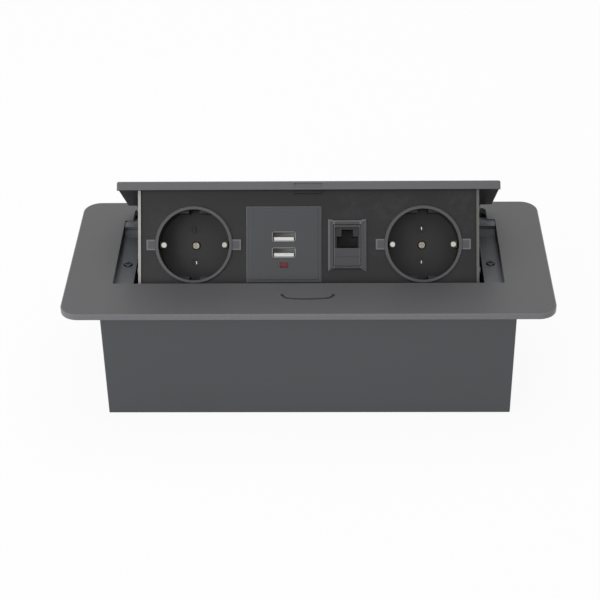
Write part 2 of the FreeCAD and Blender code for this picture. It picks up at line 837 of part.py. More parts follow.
lid_high = s.hinge_drop
lid_low = s.hinge_drop - s.lid_sheet
lid_front = -s.lid_front - s.hinge_back
lid_back = lid_front + s.lid_length
lean_slope = sine(s.panel_lean) / cosine(s.panel_lean)
lid_rivets = [
    (side * (half_panel - s.cheek_tab / 2), y)
    for side in (-1, 1)
    for y in (-s.hinge_back, s.rivet_spacing - s.hinge_back)
]
cheek_screw_spots = [(s.panel_height * share, s.cheek_screw_behind) for share in (0.2, 0.8)]
panel_bottom = -s.panel_height


def build_lid():
    body = start_piece("lid")
    half = s.lid_width / 2
    add(body, "Z", lid_low, lid_high, rectangle(-half, half, lid_front, lid_back))
    rim_low = lid_high - s.lid_rim
    add(body, "Z", rim_low, lid_low, rectangle(-half, half, lid_front, lid_front + s.lid_rim_sheet))
    tall = s.lid_sheet.number * 0.9
    dress(body, "Fillet", s.lid_corner, lambda edge: at_side(edge, half) and edge.BoundBox.ZLength > tall)
    dress(body, "Chamfer", s.plate_edge, lambda edge: flat_at(edge, lid_high))
    scoop_mid = (lid_high + rim_low) / 2
    scoop = centred(s.scoop_width, s.scoop_height, 0, scoop_mid)
    cut(body, "Y", lid_front - 1, lid_front + s.scoop_depth, scoop)
    place_on_carrier(body)
    return body


def build_striker():
    body = start_piece("striker")
    front = lid_front + s.lid_rim_sheet + s.striker_gap
    half = s.scoop_width / 2
    outline = rectangle(-half, half, s.hinge_drop - s.striker_drop, lid_low)
    add(body, "Y", front, front + s.striker_sheet, outline)
    place_on_carrier(body)
    return body


def build_cheek(name, side):
    body = start_piece(name)
    proud = s.cheek_proud
    back_low = panel_point(s.cover_bottom + 1, s.cover_depth - 4)
    arm_top = (lid_back - 2.6, lid_low)
    touch_low = tangent(s.hinge_boss, *back_low, 1)
    touch_high = tangent(s.hinge_boss, *arm_top, -1)
    low, high = across(side, half_panel, half_panel + s.cheek_sheet)
    add(body, "X", low, high, polygon([
        panel_point(-proud * lean_slope, -proud), panel_point(s.panel_height, -proud),
        panel_point(s.panel_height, 4), back_low, touch_low, (0, 0), touch_high, arm_top,
    ]))
    add(body, "X", low, high, circle(0, 0, s.hinge_boss))
    tab_low, tab_high = across(side, half_panel - s.cheek_tab, half_panel)
    seat = lid_low - s.cheek_sheet
    tab_middle = (s.rivet_spacing - s.cheek_tab_length) / 2 - s.hinge_back
    tab = rectangle(tab_middle, tab_middle + s.cheek_tab_length, seat, lid_low)
    add(body, "X", tab_low, tab_high, tab)
    pin_low, pin_high = across(side, half_panel + s.cheek_sheet, web_outer + s.moving_gap)
    pin_angle = s.stop_angle + s.open_angle
    pin = circle(s.stop_reach * cosine(pin_angle), s.stop_reach * sine(pin_angle), s.stop_radius)
    add(body, "X", pin_low, pin_high, pin)
    cut_low, cut_high = across(side, half_panel - 1, half_panel + s.cheek_sheet + 1)
    cut(body, "X", cut_low, cut_high, circle(0, 0, s.hinge_pin_radius + s.hinge_clearance))
    heads = [disc(x, y, s.rivet_head_radius) for x, y in lid_rivets if x.number * side > 0]
    add(body, "Z", seat - s.rivet_head, seat, *heads)
    place_on_carrier(body)
    return body


def build_cheek_screws():
    members = []
    seat = half_panel + s.cheek_sheet
    head = s.cheek_screw_head
    radius = s.cheek_screw_head_radius
    for side in (-1, 1):
        for down, behind in cheek_screw_spots:
            body = start_piece("cheek_screw", keep=False)
            low, high = across(side, seat, seat + head)
            add(body, "X", low, high, disc(0, 0, radius, 16))
            low, high = across(side, seat + head * 0.4, seat + head + 1)
            cut(body, "X", low, high, cross(radius * 1.3, radius * 0.3))
            place_on_panel(body, 0, down, behind)
            members.append(body)
    return compound("cheek_screws", members)


usb_down = s.socket_down + s.usb_low
net_down = s.socket_down + s.net_low
socket_outer = s.socket_bore + s.socket_wall
panel_gap = s.panel_gap


def build_socket_panel():
    body = start_piece("socket_panel")
    add(body, "Z", -s.panel_sheet, 0, rectangle(-half_panel, half_panel, panel_bottom, -s.panel_top))
    for side in (-1, 1):
        low, high = across(side, half_panel - s.return_sheet, half_panel)
        add(body, "Z", -s.return_depth, -s.panel_sheet, rectangle(low, high, panel_bottom, -s.panel_top - 3))
    holes = [circle(s.socket_side * side, -s.socket_down, socket_outer + panel_gap) for side in (-1, 1)]
    cut(body, "Z", -s.panel_sheet - 1, 1, *holes)
    usb = s.usb_body_width + panel_gap * 2
    cut(body, "Z", -s.panel_sheet - 1, 1, centred(usb, usb, s.usb_side, -usb_down))
    net_width = s.net_width - s.net_rebate * 2 + panel_gap * 2
    net_height = s.net_height - s.net_rebate * 2 + panel_gap * 2
    cut(body, "Z", -s.panel_sheet - 1, 1, centred(net_width, net_height, s.net_side, -net_down))
    place_on_panel(body)
    return body


def build_wiring_cover():
    body = start_piece("wiring_cover")
    half = half_panel - s.return_sheet - panel_gap
    wall = s.cover_sheet
    add(body, "Z", -s.cover_depth, -s.panel_sheet, rectangle(-half, half, -s.cover_bottom, -s.cover_top))
    back = -s.cover_depth
    dress(body, "Chamfer", wall, lambda edge: flat_at(edge, back) and near(edge.BoundBox.YLength, 0))
    inner = rectangle(wall - half, half - wall, wall - s.cover_bottom, -s.cover_top - wall)
    cut(body, "Z", wall - s.cover_depth, 1 - s.panel_sheet, inner)
    slot = centred(s.cable_slot_width, s.cable_slot_height, 0, s.cable_slot_height * 1.5 - s.cover_bottom)
    cut(body, "Z", -s.cover_depth - 1, wall - s.cover_depth + 1, slot)
    place_on_panel(body)
    return body


# One socket outlet: cup, earth clips, contact sleeves, rear housing and centre screw.

well_floor = -s.socket_well
cup_back = well_floor - s.socket_floor
strap_back = cup_back - s.clip_sheet
sleeve_front = strap_back - s.contact_set
sleeve_back = sleeve_front - s.contact_length
pin_offset = s.socket_pin_span / 2


def build_socket(name, side):
    body = start_piece(name)
    high = s.socket_ring_height
    turn(body, polygon([
        (0, cup_back), (socket_outer, cup_back), (socket_outer, 0), (s.socket_ring, 0),
        (s.socket_ring, high - 0.4), (s.socket_ring - 0.4, high), (s.socket_bore, high),
        (s.socket_bore, well_floor), (0, well_floor),
    ]))
    half_key = s.socket_key / 2
    flat = s.socket_flat
    wide = root(s.socket_bore * s.socket_bore - flat * flat)
    far = s.socket_bore + s.socket_wall * 0.45
    low_far = flat + s.socket_wall * 0.7
    guides = []
    for up in (-1, 1):
        for along in (-1, 1):
            inner_x, outer_x = half_key * along, wide * along
            guides.append(polygon([
                (inner_x, flat * up), (outer_x, flat * up), (outer_x, low_far * up), (inner_x, far * up),
            ]))
    add(body, "Z", well_floor, -s.socket_key_drop, *guides)
    tab_half = s.socket_tab_height / 2
    for along in (-1, 1):
        low, high_x = across(along, s.socket_ring - 0.3, s.socket_tab_reach)
        add(body, "Z", 0, high * 0.6, rectangle(low, high_x, -tab_half, tab_half))
    pins = [circle(0, pin_offset * up, s.socket_pin_radius) for up in (-1, 1)]
    cut(body, "Z", cup_back - 1, well_floor + 1, *pins)
    slot_half = s.clip_width / 2 + 0.1
    slots = []
    for along in (-1, 1):
        low, high_x = across(along, s.socket_bore - s.clip_sheet - 0.7, s.socket_bore - 0.1)
        slots.append(rectangle(low, high_x, -slot_half, slot_half))
    cut(body, "Z", cup_back - 1, well_floor + 1, *slots)
    place_on_panel(body, s.socket_side * side, s.socket_down)
    return body


def build_earth_clips(name, side):
    # A bent strap behind the floor, with a sprung leg up each side of the well.
    body = start_piece(name)
    leg = s.socket_bore - 0.25
    sheet_in = leg - s.clip_sheet
    bulge = leg - s.clip_bulge
    half = s.clip_width / 2
    outlines = []
    for along in (-1, 1):
        points = [
            (leg, strap_back), (leg, -12), (bulge + s.clip_sheet, -7.2), (bulge + s.clip_sheet, -4.1),
            (leg, -2.2), (sheet_in, -1.5), (bulge, -3.3), (bulge, -7.6), (sheet_in, -12.3),
            (sheet_in, cup_back), (0, cup_back), (0, strap_back),
        ]
        outlines.append([(x * along, z) for x, z in points])
    add(body, "Y", -half, half, polygon(outlines[0]))
    add(body, "Y", -half, half, polygon(outlines[1]))
    place_on_panel(body, s.socket_side * side, s.socket_down)
    return body


def build_socket_back(name, side):
    body = start_piece(name)
    low = s.cover_sheet + panel_gap * 2 - s.cover_depth
    half = socket_outer - 1
    add(body, "Z", low, strap_back, centred(half * 2, half * 2))
    dress(body, "Chamfer", s.plate_edge * 6, upright)
    pockets = [disc(0, pin_offset * up, s.contact_radius + s.contact_clearance) for up in (-1, 1)]
    cut(body, "Z", sleeve_back - s.contact_clearance, strap_back + 1, *pockets)
    place_on_panel(body, s.socket_side * side, s.socket_down)
    return body


def build_contacts(name, side):
    members = []
    for up in (-1, 1):
        body = start_piece("contact_sleeve", keep=False)
        add(body, "Z", sleeve_back, sleeve_front, disc(0, 0, s.contact_radius))
        cut(body, "Z", sleeve_back + 1, sleeve_front + 1, disc(0, 0, s.socket_pin_radius - panel_gap * 2))
        cut(body, "Z", sleeve_back + 3, sleeve_front + 1, centred(panel_gap * 8, s.contact_radius * 3))
        place_on_panel(body, s.socket_side * side, s.socket_down - pin_offset * up)
        members.append(body)
    return compound(name, members)


def build_socket_screws():
    members = []
    for side in (-1, 1):
        body = screw("socket_screw", s.socket_screw_radius, s.screw_head)
        place_on_panel(body, s.socket_side * side, s.socket_down, s.socket_well)
        members.append(body)
    return compound("socket_screws", members)


# The charging module.

port_front = s.usb_proud + s.port_proud
port_back = port_front - s.port_length
skirt_back = -s.panel_sheet - 2


def build_usb_plate():
    body = start_piece("usb_plate")
    low_face = s.usb_proud - s.usb_step
    add(body, "Z", 0, low_face, centred(s.usb_width, s.usb_height))
    dress(body, "Chamfer", low_face * 0.4, lambda edge: flat_at(edge, low_face))
    field_width = s.usb_width - s.usb_border * 2
    field_height = s.usb_height - s.usb_border * 2
    add(body, "Z", low_face, s.usb_proud, centred(field_width, field_height), draft=as_size(-30))
    add(body, "Z", skirt_back, 0, centred(s.usb_body_width, s.usb_body_width))
    inner = s.usb_body_width - 3
    cut(body, "Z", skirt_back - 1, -0.6, centred(inner, inner))
    width = s.port_width + panel_gap
    height = s.port_height + panel_gap
    ports = [centred(width, height, 0, s.port_spacing / 2 * up) for up in (-1, 1)]
    cut(body, "Z", -1, s.usb_proud + 1, *ports)
    led = centred(s.led_width + panel_gap, s.led_height + panel_gap, 0, -s.led_down)
    cut(body, "Z", -1, s.usb_proud + 1, led)
    place_on_panel(body, s.usb_side, usb_down)
    return body


def build_port(name, up):
    shell = start_piece(f"{name}_usb_shell")
    sheet_twice = s.port_sheet * 2
    inner_width = s.port_width - sheet_twice
    inner_height = s.port_height - sheet_twice
    add(shell, "Z", port_back, port_front, centred(s.port_width, s.port_height))
    dress(shell, "Chamfer", s.port_sheet * 1.5, upright)
    cut(shell, "Z", port_back - 1, port_front + 1, centred(inner_width, inner_height))
    down = usb_down - s.port_spacing / 2 * up
    place_on_panel(shell, s.usb_side, down)
    tongue = start_piece(f"{name}_usb_tongue")
    slack = 0.1
    add(tongue, "Z", port_back, port_back + 3, centred(inner_width - slack, inner_height - slack))
    low = slack * 3 - inner_height / 2
    half = s.tongue_width / 2
    add(tongue, "Z", port_back + 3, port_front - 0.6, rectangle(-half, half, low, low + s.tongue_height))
    place_on_panel(tongue, s.usb_side, down)


def build_usb_inside():
    lens = start_piece("led_lens")
    add(lens, "Z", -1.4, s.usb_proud + 0.3, centred(s.led_width, s.led_height))
    dress(lens, "Chamfer", s.plate_edge * 0.6, lambda edge: flat_at(edge, s.usb_proud + 0.3))
    place_on_panel(lens, s.usb_side, usb_down + s.led_down)
    board = start_piece("usb_board")
    inner = s.usb_body_width - s.cover_sheet * 2 - 0.4
    add(board, "Z", port_back - 1.6, port_back, centred(inner, inner))
    add(board, "Z", port_back, -1.4, centred(s.led_width, s.led_height, 0, -s.led_down))
    add(board, "Z", port_back - 5.6, port_back - 1.6, centred(inner / 2, inner / 3))
    place_on_panel(board, s.usb_side, usb_down)
    case = start_piece("usb_case")
    add(case, "Z", -s.usb_body_depth - 2, skirt_back, centred(s.usb_body_width, s.usb_body_width))
    room = s.usb_body_width - s.cover_sheet * 2
    cut(case, "Z", s.cover_sheet - s.usb_body_depth - 2, skirt_back + 1, centred(room, room))
    place_on_panel(case, s.usb_side, usb_down)


# The network outlet.

net_body_width = s.net_width - s.net_rebate * 2
net_body_height = s.net_height - s.net_rebate * 2
recess_depth = s.net_proud - 1


def jack_outline(gap):
    half = s.jack_width / 2 + gap
    key = s.jack_key_width / 2 + gap
    low = -s.jack_low - gap
    shoulder = s.jack_height - s.jack_low + gap
    high = shoulder + s.jack_key_height
    return polygon([
        (-half, low), (half, low), (half, shoulder), (key, shoulder),
        (key, high), (-key, high), (-key, shoulder), (-half, shoulder),
    ])


def build_network_frame():
    # A raised rim with flared corners, a groove, and a bezel with the jack and a bare label strip.
    body = start_piece("network_frame")
    wide, tall = s.net_width / 2, s.net_height / 2
    corner = wide - s.net_rim
    add(body, "Z", 0, s.net_proud, polygon([
        (-wide, -tall), (-corner, s.net_flare - tall), (corner, s.net_flare - tall), (wide, -tall),
        (wide, tall), (corner, tall - s.net_flare / 3), (-corner, tall - s.net_flare / 3), (-wide, tall),
    ]))
    dress(body, "Chamfer", s.net_bevel, lambda edge: flat_at(edge, s.net_proud))
    low_face = s.net_proud - s.net_groove_depth
    field_low, field_high = s.net_flare + s.net_rim / 2 - tall, tall - s.net_rim
    field = rectangle(-corner, corner, field_low, field_high)
    cut(body, "Z", low_face, s.net_proud + 1, field)
    groove = s.net_groove
    bezel = rectangle(groove - corner, corner - groove, field_low + groove, field_high - groove)
    add(body, "Z", low_face, s.net_proud - s.net_bezel_drop, bezel)
    add(body, "Z", skirt_back, 0, centred(net_body_width, net_body_height))
    half = s.jack_recess / 2
    recess = rectangle(-half, half, -s.jack_low, s.jack_recess_height - s.jack_low)
    cut(body, "Z", recess_depth, s.net_proud + 1, recess)
    label_low = s.label_up - tall
    label = rectangle(-half, half, label_low, label_low + s.label_height)
    label_floor = s.net_proud - s.net_bezel_drop - s.label_depth
    cut(body, "Z", label_floor, s.net_proud + 1, label)
    cut(body, "Z", skirt_back - 1, s.net_proud + 1, jack_outline(0))
    place_on_panel(body, s.net_side, net_down)
    return body


def build_network_jack():
    body = start_piece("network_jack")
    back = skirt_back - s.jack_depth
    width = s.jack_width + s.jack_wall * 2
    low = -s.jack_low - s.jack_wall
    high = s.jack_height - s.jack_low + s.jack_key_height + s.jack_wall
    add(body, "Z", back, skirt_back, rectangle(-width / 2, width / 2, low, high))
    cut(body, "Z", back + 2, skirt_back + 1, jack_outline(0))
    place_on_panel(body, s.net_side, net_down)
    contacts = start_piece("network_contacts")
    wires = []
    pitch = 1.02
    for index in range(8):
        x = (index - 3.5) * pitch
        wires.append(rectangle(x - 0.2, x + 0.2, -s.jack_low + 0.6, -s.jack_low + 1.1))
    add(contacts, "Z", back + 2, -1, *wires)
    place_on_panel(contacts, s.net_side, net_down)


build_faceplate()
build_rim_gasket()
build_box_shell()
build_bracket("left_bracket", -1)
build_bracket("right_bracket", 1)
build_rear_strip()
build_end_block("left_end_block", -1)
build_end_block("right_end_block", 1)
build_shelf_screws()
build_hinge_pin("left_hinge_pin", -1)
build_hinge_pin("right_hinge_pin", 1)
build_cable_grommet()
build_catch()

build_lid()
build_striker()
build_cheek("left_cheek", -1)
build_cheek("right_cheek", 1)
build_cheek_screws()
build_socket_panel()
build_wiring_cover()

for word, side in (("left", -1), ("right", 1)):
    build_socket(f"{word}_socket", side)
    build_earth_clips(f"{word}_earth_clips", side)
    build_socket_back(f"{word}_socket_back", side)
    build_contacts(f"{word}_contacts", side)
build_socket_screws()

build_usb_plate()
build_port("upper", 1)
build_port("lower", -1)
build_usb_inside()
build_network_frame()
build_network_jack()

doc.recompute()
for item in doc.Objects:
    if "Invalid" in item.State or "Error" in item.State:
        raise RuntimeError(f"{item.Label}: {item.State}")
os.makedirs("parts", exist_ok=True)
for item in nodes:
    shape = item.Shape
    if shape.isNull() or not shape.isValid():
        raise RuntimeError(f"{item.Label}: bad shape")
    shape.exportStep(f"parts/{item.Label}.step")
    print(item.Label, round(shape.Volume, 1))
print(len(nodes), "pieces")
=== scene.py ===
import math

import bpy
from mathutils import Matrix, Vector


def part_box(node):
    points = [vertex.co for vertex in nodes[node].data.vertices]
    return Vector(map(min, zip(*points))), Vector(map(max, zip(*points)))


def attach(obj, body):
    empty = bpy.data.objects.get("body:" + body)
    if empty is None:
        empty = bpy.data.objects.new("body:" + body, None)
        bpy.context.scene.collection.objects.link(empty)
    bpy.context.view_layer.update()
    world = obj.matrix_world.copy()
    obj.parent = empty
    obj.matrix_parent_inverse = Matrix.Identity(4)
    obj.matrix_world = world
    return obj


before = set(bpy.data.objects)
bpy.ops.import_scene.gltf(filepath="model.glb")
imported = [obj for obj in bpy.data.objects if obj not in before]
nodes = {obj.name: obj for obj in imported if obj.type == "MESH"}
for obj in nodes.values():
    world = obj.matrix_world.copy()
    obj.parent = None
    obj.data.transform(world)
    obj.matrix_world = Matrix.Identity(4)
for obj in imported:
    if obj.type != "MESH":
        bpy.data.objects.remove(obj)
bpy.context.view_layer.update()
print("frame loaded:", len(nodes), "nodes")


# Shader maths, written as expressions on sockets.

class Wire:
    def __init__(self, tree, socket):
        self.tree = tree
        self.socket = socket

    def math(self, operation, *others):
        node = self.tree.nodes.new("ShaderNodeMath")
        node.operation = operation
        for i, value in enumerate((self, *others)):
            plug(self.tree, node.inputs[i], value)
        return Wire(self.tree, node.outputs[0])

    def __add__(self, other): return self.math("ADD", other)
    def __sub__(self, other): return self.math("SUBTRACT", other)
    def __mul__(self, other): return self.math("MULTIPLY", other)
    def __lt__(self, other): return self.math("LESS_THAN", other)
    def __gt__(self, other): return self.math("GREATER_THAN", other)
    def __abs__(self): return self.math("ABSOLUTE")
    __radd__ = __add__
    __rmul__ = __mul__

    def __rsub__(self, other):
        return (self * -1) + other

    def clamp(self):
        return self.math("MAXIMUM", 0).math("MINIMUM", 1)


def plug(tree, socket, value):
    if isinstance(value, Wire):
        tree.links.new(value.socket, socket)
    else:
        socket.default_value = value


class Finish:
    # One material. make() adds any node: its settings first, then the values of its sockets.

    def __init__(self, name):
        self.material = bpy.data.materials.new(name)
        self.material.use_nodes = True
        self.tree = self.material.node_tree
        self.tree.nodes.clear()
        self.out = self.tree.nodes.new("ShaderNodeOutputMaterial")
        self.place = self.make("TexCoord", output="Object")

    def make(self, kind, settings=None, sockets=None, output=0):
        node = self.tree.nodes.new("ShaderNode" + kind)
        for key, value in (settings or {}).items():
            setattr(node, key, value)
        for key, value in (sockets or {}).items():
            plug(self.tree, node.inputs[key], value)
        return Wire(self.tree, node.outputs[output])

    def noise(self, scale, detail=2.0, rough=0.5, place=None):
        sockets = {"Vector": place or self.place, "Scale": scale, "Detail": detail, "Roughness": rough}
        return self.make("TexNoise", sockets=sockets, output="Fac")

    def axes(self, vector=None):
        node = self.tree.nodes.new("ShaderNodeSeparateXYZ")
        plug(self.tree, node.inputs[0], vector or self.place)
        return [Wire(self.tree, socket) for socket in node.outputs]

    def blend(self, mask, low, high):
        node = self.tree.nodes.new("ShaderNodeMix")
        node.data_type = "RGBA"
        plug(self.tree, node.inputs[0], mask)
        plug(self.tree, node.inputs[6], low)
        plug(self.tree, node.inputs[7], high)
        return Wire(self.tree, node.outputs[2])

    def shades(self, mask, colour, limits):
        low, high = limits
        return self.blend(mask, scaled(colour, low), scaled(colour, high))

    def bump(self, height, distance):
        return self.make("Bump", sockets={"Height": height, "Distance": distance, "Strength": 1.0})

    def close(self, **sockets):
        named = {key.replace("_", " "): value for key, value in sockets.items()}
        shader = self.make("BsdfPrincipled", sockets=named)
        self.tree.links.new(shader.socket, self.out.inputs["Surface"])
        return self.material


def tint(red, green, blue):
    # A colour as it is seen, from 0 to 255, as the linear colour that a shader takes.
    def linear(value):
        value /= 255
        return value / 12.92 if value <= 0.04045 else ((value + 0.055) / 1.055) ** 2.4
    return (linear(red), linear(green), linear(blue), 1.0)


def scaled(colour, factor):
    return tuple(channel * factor for channel in colour[:3]) + (1.0,)


# Directions that the finishes ask about, at rest.

facings = {
    "up": (0.0, 0.0, 1.0),
    "side": (1.0, 0.0, 0.0),
    "outOfPanel": (0.0, -0.8387, 0.5446),
    "underLid": (0.0, -0.6508, -0.7593),
}


def facing(finish, direction):
    # How squarely a surface faces a direction, from -1 to 1.
    normal = finish.make("TexCoord", output="Normal")
    sockets = {0: normal, 1: facings[direction]}
    return finish.make("VectorMath", {"operation": "DOT_PRODUCT"}, sockets, output="Value")


powderCoat = {
    "toneRange": (0.92, 1.08),
    "grainSize": 0.0006,
    "grainDetail": (3.0, 0.6),
    "cloudScale": 18.0,
    "cloudDetail": (3.0, 0.55),
    "cloudSheen": 0.12,
    "grainSheen": 0.06,
    "highlightStreaks": 900.0,
    "highlightRange": (0.85, 1.1),
    "scuffScale": 26.0,
    "scuffFrom": 0.5,
    "scuffContrast": 5.0,
    "fineScale": 240.0,
    "fineFrom": 0.3,
    "fineContrast": 2.0,
    "scuffSheen": 0.08,
    "markFloor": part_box("faceplate")[1][2] - 0.0004,
    "squarely": 0.9,
}


def paint(name, colour, rough=0.5, grainDepth=0.00004, paintedHighlight=None, flat="up", limit=0.5,
          underShade=None, gloss=0.5, grooveShade=None, scuff=None):
    # Powder coat: a fine even grain, with slow changes of tone and sheen. Faces turned from the flat
    # direction, such as cut edges, get a painted highlight, the lid's inner face and a groove's floor
    # painted shade, and scuffed patches a tone of their own.
    finish = Finish(name)
    look = powderCoat
    grain = finish.noise(1 / look["grainSize"], *look["grainDetail"])
    cloud = finish.noise(look["cloudScale"], *look["cloudDetail"])
    tone = (grain * 0.5 + cloud * 0.5).clamp()
    base = finish.shades(tone, colour, look["toneRange"])
    middleSheen = (look["cloudSheen"] + look["grainSheen"]) / 2
    sheen = cloud * look["cloudSheen"] + grain * look["grainSheen"] + (rough - middleSheen)
    if scuff:
        patches = finish.noise(look["scuffScale"], 4.0, 0.6) - look["scuffFrom"]
        fine = finish.noise(look["fineScale"], 3.0, 0.7) - look["fineFrom"]
        worn = (patches * look["scuffContrast"]).clamp() * (fine * look["fineContrast"]).clamp()
        base = finish.blend(worn, base, scuff)
        sheen = sheen + worn * look["scuffSheen"]
    # painted shade: the floor of the sunk mark on the faceplate is darkened
    if grooveShade:
        height = finish.axes()[2]
        sunk = (height < look["markFloor"]) * (facing(finish, "up") > look["squarely"])
        base = finish.blend(sunk, base, grooveShade)
    # painted shade: the lid's inner face, turned down and away, gets a darker copy of the paint
    if underShade:
        shadedInner = finish.shades(tone, underShade, look["toneRange"])
        base = finish.blend(facing(finish, "underLid") > look["squarely"], base, shadedInner)
    # painted highlight: faces that don't face the flat direction are lightened, in streaks
    if paintedHighlight:
        highlightFaces = abs(facing(finish, flat)) < limit
        streak = finish.noise(look["highlightStreaks"], 2.0, 0.5)
        base = finish.blend(highlightFaces, base, finish.shades(streak, paintedHighlight, look["highlightRange"]))
    return finish.close(
        Base_Color=base, Roughness=sheen, Specular_IOR_Level=gloss, Normal=finish.bump(grain, grainDepth),
    )


plastic = {
    "toneRange": (0.94, 1.06),
    "grainSize": 0.0009,
    "patchScale": 60.0,
    "patchSheen": 0.14,
    "slopeFrom": 0.35,
    "slopeTo": 0.97,
}


def onSlope(finish):
    # The sloping edges of what stands on the socket panel.
    turned = facing(finish, "outOfPanel")
    return (turned > plastic["slopeFrom"]) * (turned < plastic["slopeTo"])


def moulding(name, colour, rough, grainDepth=0.00002, coat=0.0, paintedHighlight=None):
    # Injection-moulded plastic: a soft fine texture, a little smoother in patches. Sloping
    # edges can carry a painted highlight.
    finish = Finish(name)
    grain = finish.noise(1 / plastic["grainSize"], 2.0, 0.5)
    patch = finish.noise(plastic["patchScale"], 3.0, 0.6)
    base = finish.shades(patch, colour, plastic["toneRange"])
    sheen = patch * plastic["patchSheen"] + (rough - plastic["patchSheen"] / 2)
    # painted highlight on the sloping edges
    if paintedHighlight:
        base = finish.blend(onSlope(finish), base, paintedHighlight)
    return finish.close(
        Base_Color=base, Roughness=sheen, Coat_Weight=coat, Normal=finish.bump(grain, grainDepth),
    )


drawnMetal = {
    "toneRange": (0.9, 1.05),
    "streakSize": 0.0005,
    "streakDepth": 0.000006,
    "stretch": (1.0, 6.0, 1.0),
    "patchScale": 300.0,
    "patchSheen": 0.1,
    "streakSheen": 0.08,
}


def metal(name, colour, rough):
    # Plated or plain metal, with fine drawn lines and slightly uneven shine.
    finish = Finish(name)
    look = drawnMetal
    stretch = finish.make("Mapping", sockets={"Vector": finish.place, "Scale": look["stretch"]})
    streak = finish.noise(1 / look["streakSize"], 2.0, 0.5, stretch)
    patch = finish.noise(look["patchScale"], 2.0, 0.5)
    base = finish.shades(patch, colour, look["toneRange"])
    middleSheen = (look["patchSheen"] + look["streakSheen"]) / 2
    sheen = patch * look["patchSheen"] + streak * look["streakSheen"] + (rough - middleSheen)
    return finish.close(
        Base_Color=base, Metallic=1.0, Roughness=sheen,
        Normal=finish.bump(streak, look["streakDepth"]),
    )


# Where the pieces on the socket panel stand, for finishes that change with depth or place.

panelSpots = {
    "lean": 57.0,
    "faceMiddle": (0.0, -0.010656, 0.083924),
    "socketSide": 0.0635,
    "wellFloor": -0.0175,
    "pinOffset": 0.0095,
}


def panelAxes(finish):
    # Distances on the socket panel: across, up its face and out of it.
    turned = finish.make("Mapping", {"vector_type": "TEXTURE"}, {
        "Vector": finish.place,
        "Location": panelSpots["faceMiddle"],
        "Rotation": (math.radians(panelSpots["lean"]), 0.0, 0.0),
    })
    return finish.axes(turned)


socketLook = {
    "faceRange": (0.93, 1.06),
    "wellRange": (0.9, 1.1),
    "ringOuter": 0.0216,
    "tabLineUp": 0.0022,
    "tabLineOut": 0.0254,
    "wellFrom": 0.0004,
    "wellFade": 420.0,
    "patchScale": 55.0,
    "patchSheen": 0.12,
    "wellSheen": 0.22,
    "grainScale": 1100.0,
    "grainDepth": 0.00002,
}


def socketMoulding(name, rim, recessShade, tabHighlight, rough):
    # The ring's face is smoother and catches light. The well inside is matt, with painted shade that
    # darkens it below the panel face, and each side tab has a painted highlight line round its edge.
    finish = Finish(name)
    look = socketLook
    across, up, out = panelAxes(finish)
    fromMiddle = abs(abs(across) - panelSpots["socketSide"])
    onTab = fromMiddle > look["ringOuter"]
    tabLine = (abs(up) > look["tabLineUp"]) + (fromMiddle > look["tabLineOut"])
    # painted highlight: a pale line round each side tab's edge
    tabHighlightMask = (onTab * tabLine).clamp() * (out > 0.0)
    grain = finish.noise(look["grainScale"], 2.0, 0.5)
    patch = finish.noise(look["patchScale"], 3.0, 0.6)
    # painted shade: the well darkens with depth below the panel face
    inWell = ((out * -1 - look["wellFrom"]) * look["wellFade"]).clamp()
    face = finish.shades(patch, rim, look["faceRange"])
    shadedWell = finish.shades(patch, recessShade, look["wellRange"])
    middleSheen = look["patchSheen"] / 2
    sheen = patch * look["patchSheen"] + inWell * look["wellSheen"] + (rough - middleSheen)
    base = finish.blend(tabHighlightMask, finish.blend(inWell, face, shadedWell), tabHighlight)
    return finish.close(Base_Color=base, Roughness=sheen, Normal=finish.bump(grain, look["grainDepth"]))


clipLook = {
    "nose": 0.0168,
    "glintReach": 0.0012,
    "glintFade": 2500.0,
    "rightGlintDimming": 0.6,
    "dullRough": 0.5,
    "polish": 0.24,
    "scratchScale": 1500.0,
    "scratchSheen": 0.06,
    "scratchDepth": 0.000008,
}


def clipMetal(name, dull, glint):
    # Sprung earth clips: a dull strip with a painted glint on its nose, which is also smoother there, and
    # a weaker glint on the right.
    finish = Finish(name)
    look = clipLook
    side = panelSpots["socketSide"]
    across, up, out = panelAxes(finish)
    along = abs(abs(across) - side) - look["nose"]
    reach = (along * along + up * up).math("SQRT")
    onRight = ((across > side) + (across > -side) * (across < 0)).clamp()
    spot = 1 - ((reach - look["glintReach"]) * look["glintFade"]).clamp()
    glintAndPolish = spot * (1 - onRight * look["rightGlintDimming"])
    scratch = finish.noise(look["scratchScale"], 3.0, 0.6)
    sheen = look["dullRough"] - glintAndPolish * look["polish"] + scratch * look["scratchSheen"]
    return finish.close(
        Base_Color=finish.blend(glintAndPolish, dull, glint), Metallic=1.0, Roughness=sheen,
        Normal=finish.bump(scratch, look["scratchDepth"]),
    )


networkLook = {
    "side": 0.0215,
    "halfField": 0.00775,
    "halfRecess": 0.0069,
    "grooveFloor": 0.00158,
    "patchSheen": 0.12,
    "sunkSheen": 0.25,
    "grainScale": 1100.0,
    "grainDepth": 0.00002,
}


def networkMoulding(name, face, recessShade, paintedHighlight, rough):
    # The outlet's face is satin. Its groove and the recess round the jack carry painted shade, and its
    # sloping edges and the rim round the recess a painted highlight.
    finish = Finish(name)
    look = networkLook
    across, up, out = panelAxes(finish)
    grain = finish.noise(look["grainScale"], 2.0, 0.5)
    patch = finish.noise(plastic["patchScale"], 3.0, 0.6)
    aside = abs(across - look["side"])
    inField = aside < look["halfField"]
    sunk = inField * (out < look["grooveFloor"])
    border = inField * (aside > look["halfRecess"]) * (out > look["grooveFloor"])
    base = finish.shades(patch, face, plastic["toneRange"])
    # painted highlight on the sloping edges and the rim round the recess
    base = finish.blend((onSlope(finish) + border).clamp(), base, paintedHighlight)
    base = finish.blend(sunk, base, recessShade)
    middleSheen = look["patchSheen"] / 2
    sheen = patch * look["patchSheen"] + sunk * look["sunkSheen"] + (rough - middleSheen)
    return finish.close(Base_Color=base, Roughness=sheen, Normal=finish.bump(grain, look["grainDepth"]))


